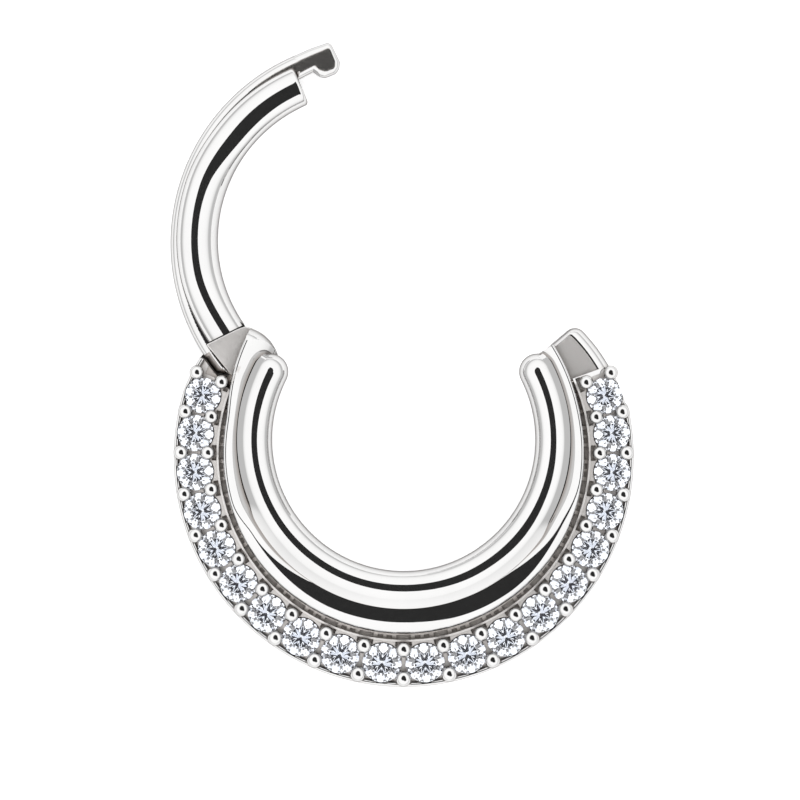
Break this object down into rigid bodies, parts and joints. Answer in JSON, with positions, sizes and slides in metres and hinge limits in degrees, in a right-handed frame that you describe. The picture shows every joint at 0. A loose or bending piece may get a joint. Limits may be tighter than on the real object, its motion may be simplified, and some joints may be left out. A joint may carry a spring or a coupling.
{
  "type": "hinged piercing hoop",
  "caption": "Hinged hoop for a piercing in polished white metal: a crescent with two rails and a row of clear stones, and a round bar that swings open on a pin and clicks into a latch block.",
  "frame": {"origin": "centre of the hoop's hole, at the height of the flat back", "axes": "+X to the latch side of the face, +Y from the crescent to the open bar, +Z out of the front face"},
  "size_m": [0.0127, 0.0175, 0.0019],
  "materials": {
    "body_metal": "polished surgical steel, darker in the recesses between the stones",
    "bar_metal": "polished surgical steel",
    "pin_metal": "polished surgical steel",
    "clear_stone": "clear cubic zirconia, round brilliant cut"
  },
  "bodies": {
    "ring": {"ring_body": "body_metal", "hinge_pin": "pin_metal", "stone_01": "clear_stone", "stone_02": "clear_stone", "stone_03": "clear_stone", "stone_04": "clear_stone", "stone_05": "clear_stone", "stone_06": "clear_stone", "stone_07": "clear_stone", "stone_08": "clear_stone", "stone_09": "clear_stone", "stone_10": "clear_stone", "stone_11": "clear_stone", "stone_12": "clear_stone", "stone_13": "clear_stone", "stone_14": "clear_stone", "stone_15": "clear_stone", "stone_16": "clear_stone", "stone_17": "clear_stone", "stone_18": "clear_stone", "stone_19": "clear_stone", "stone_20": "clear_stone"},
    "bar": {"hinge_bar": "bar_metal"}
  },
  "joints": [
    {"name": "bar_hinge", "type": "hinge", "parent": "ring", "child": "bar", "pos_m": [-0.00405, 0.00187, 0.0006], "axis": [0, 0, 1], "range_deg": [-76, 0]}
  ]
}
